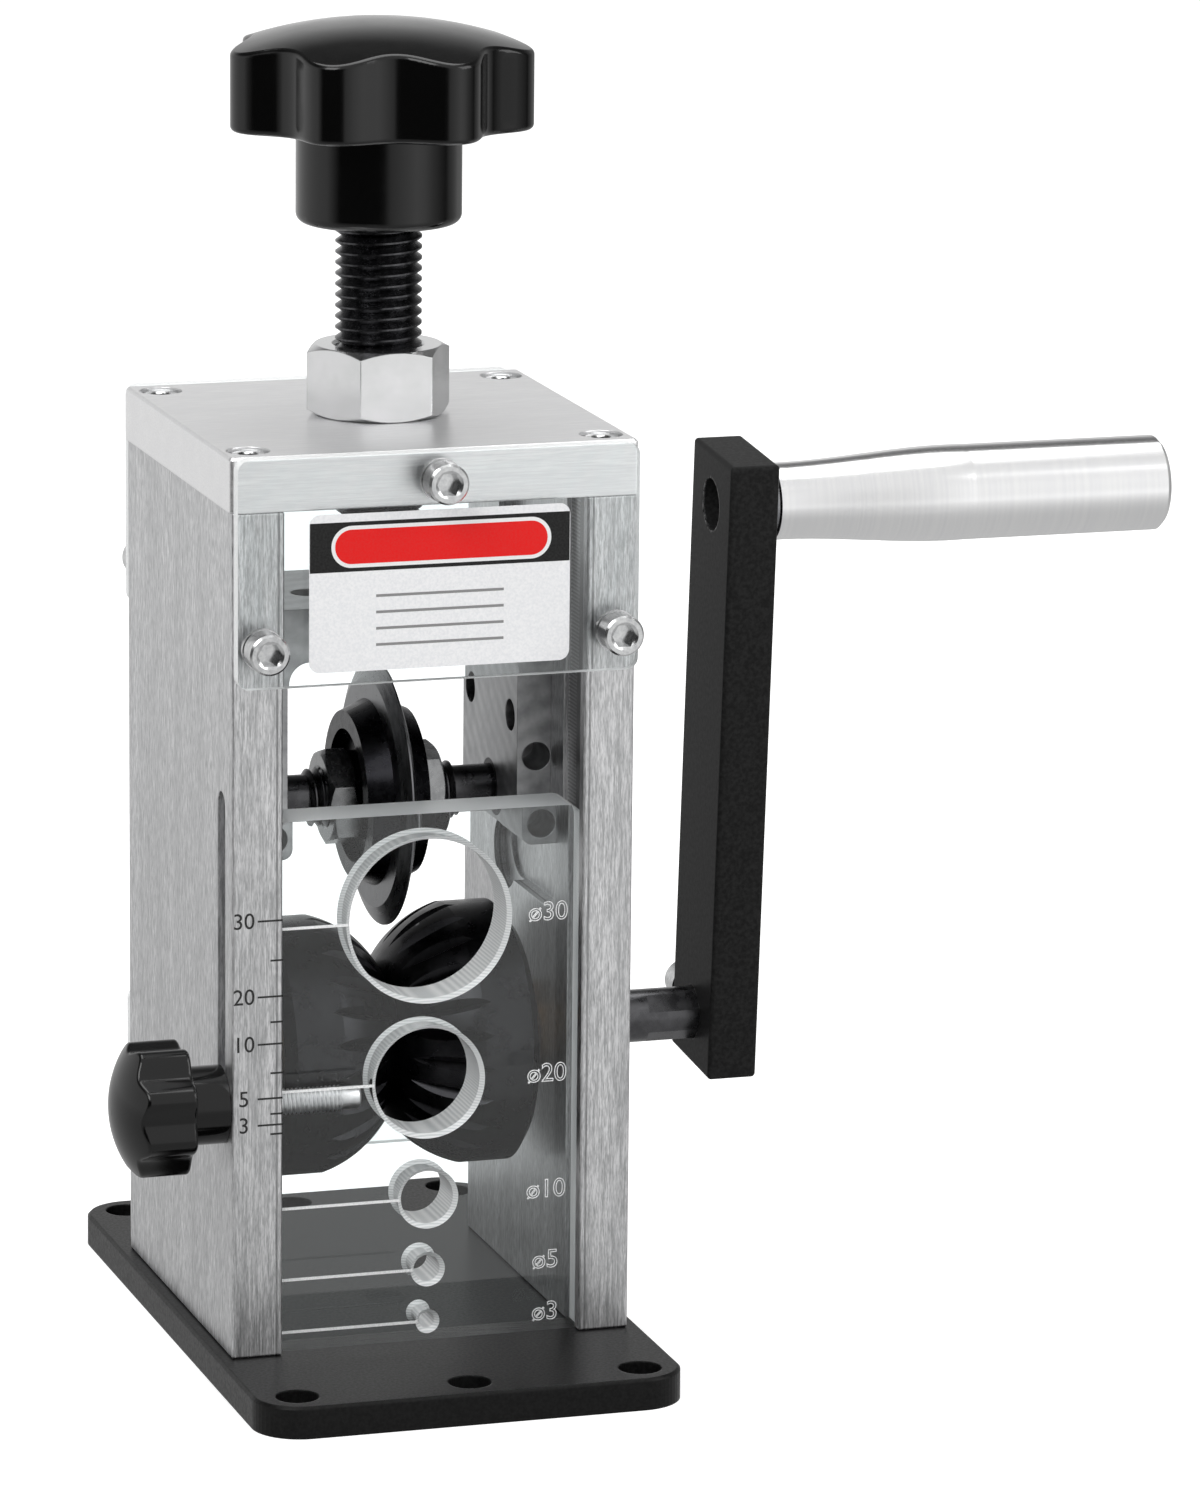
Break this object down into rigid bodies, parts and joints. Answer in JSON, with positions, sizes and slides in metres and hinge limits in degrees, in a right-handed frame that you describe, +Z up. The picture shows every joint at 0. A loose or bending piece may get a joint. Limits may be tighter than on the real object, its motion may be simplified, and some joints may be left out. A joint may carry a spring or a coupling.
{
  "type": "hand crank wire stripper",
  "caption": "Bench wire stripper: a hand crank turns a grooved roller that feeds cable under a round blade set by a screw spindle, through a sliding clear guide plate.",
  "frame": {"origin": "centre of the underside of the base plate", "axes": "+Z up along the spindle, +X along the shaft towards the crank, -Y towards the side where the cable goes in"},
  "size_m": [0.2102, 0.14, 0.247],
  "materials": {
    "powder_coat": "fine-textured black powder coat",
    "screw_steel": "bright plated steel",
    "side_aluminium": "brushed vertically",
    "top_aluminium": "brushed across",
    "clear_acrylic": "clear acrylic sheet",
    "guide_acrylic": "thick clear acrylic sheet",
    "label_film": "printed label film, plain bars only",
    "bush_bronze": "sintered bronze",
    "bush_iron": "sintered iron",
    "knob_plastic": "gloss black moulding",
    "shaft_steel": "ground steel",
    "roller_steel": "black oxide over turned steel",
    "arm_paint": "semi-gloss black paint, worn at the edges",
    "grip_aluminium": "polished",
    "yoke_aluminium": "milled and brushed",
    "blade_steel": "ground tool steel",
    "flange_steel": "turned steel",
    "nut_steel": "bright plated steel",
    "spindle_black": "black oxide on a rolled thread"
  },
  "bodies": {
    "frame": {"base_plate": "powder_coat", "base_screws": "screw_steel", "side_plate_left": "side_aluminium", "side_plate_right": "side_aluminium", "top_plate": "top_aluminium", "top_plate_screws": "screw_steel", "front_shield": "clear_acrylic", "front_shield_screws": "screw_steel", "front_shield_washers": "screw_steel", "rear_shield": "clear_acrylic", "rear_shield_screws": "screw_steel", "rear_shield_washers": "screw_steel", "rear_guard": "clear_acrylic", "rear_guard_screws": "screw_steel", "rear_guard_washers": "screw_steel", "face_label": "label_film", "roller_bush_left": "bush_bronze", "roller_bush_right": "bush_bronze"},
    "guide": {"guide_plate": "guide_acrylic"},
    "clamp": {"clamp_knob": "knob_plastic", "clamp_stud": "screw_steel"},
    "crank": {"drive_shaft": "shaft_steel", "feed_roller_left": "roller_steel", "feed_roller_right": "roller_steel", "roller_key": "shaft_steel", "roller_set_screw": "shaft_steel", "roller_spacers": "bush_bronze", "crank_arm": "arm_paint", "arm_screw": "screw_steel", "handle_pin": "shaft_steel", "grip_washer": "screw_steel", "grip_screw": "screw_steel"},
    "grip": {"crank_grip": "grip_aluminium"},
    "yoke": {"yoke": "yoke_aluminium", "axle_bush_left": "bush_iron", "axle_bush_right": "bush_iron", "thrust_washer": "screw_steel"},
    "cutter": {"cutter_axle": "shaft_steel", "cutting_blade": "blade_steel", "blade_flange_left": "flange_steel", "blade_flange_right": "flange_steel", "axle_nut_left": "nut_steel", "axle_nut_right": "nut_steel"},
    "spindle": {"spindle": "spindle_black", "spindle_retainer": "shaft_steel", "pressure_knob": "knob_plastic"},
    "lock_nut": {"lock_nut": "nut_steel"}
  },
  "joints": [
    {"name": "guide_slide", "type": "slide", "parent": "frame", "child": "guide", "axis": [0, 0, 1], "range_m": [0, 0.056]},
    {"name": "clamp_turn", "type": "hinge", "parent": "guide", "child": "clamp", "pos_m": [-0.038, -0.0305, 0.0526], "axis": [-1, 0, 0], "range_deg": [0, 360]},
    {"name": "yoke_slide", "type": "slide", "parent": "frame", "child": "yoke", "axis": [0, 0, 1], "range_m": [-0.0075, 0.0202]},
    {"name": "spindle_turn", "type": "hinge", "parent": "yoke", "child": "spindle", "pos_m": [0, 0, 0.15], "axis": [0, 0, 1], "range_deg": [-1350, 3636]},
    {"name": "lock_nut_turn", "type": "hinge", "parent": "frame", "child": "lock_nut", "pos_m": [0, 0, 0.18], "axis": [0, 0, 1], "range_deg": [0, 360]},
    {"name": "cutter_spin", "type": "hinge", "parent": "yoke", "child": "cutter", "pos_m": [0, 0, 0.1022], "axis": [1, 0, 0], "continuous": true},
    {"name": "crank_turn", "type": "hinge", "parent": "frame", "child": "crank", "pos_m": [0, 0, 0.0554], "axis": [1, 0, 0], "continuous": true},
    {"name": "grip_spin", "type": "hinge", "parent": "crank", "child": "grip", "pos_m": [0.11, -0.00774, 0.1551], "axis": [1, 0, 0], "continuous": true}
  ],
  "couplings": [
    {"joint": "spindle_turn", "follows": "yoke_slide", "rad_per_m": 3141.5}
  ]
}
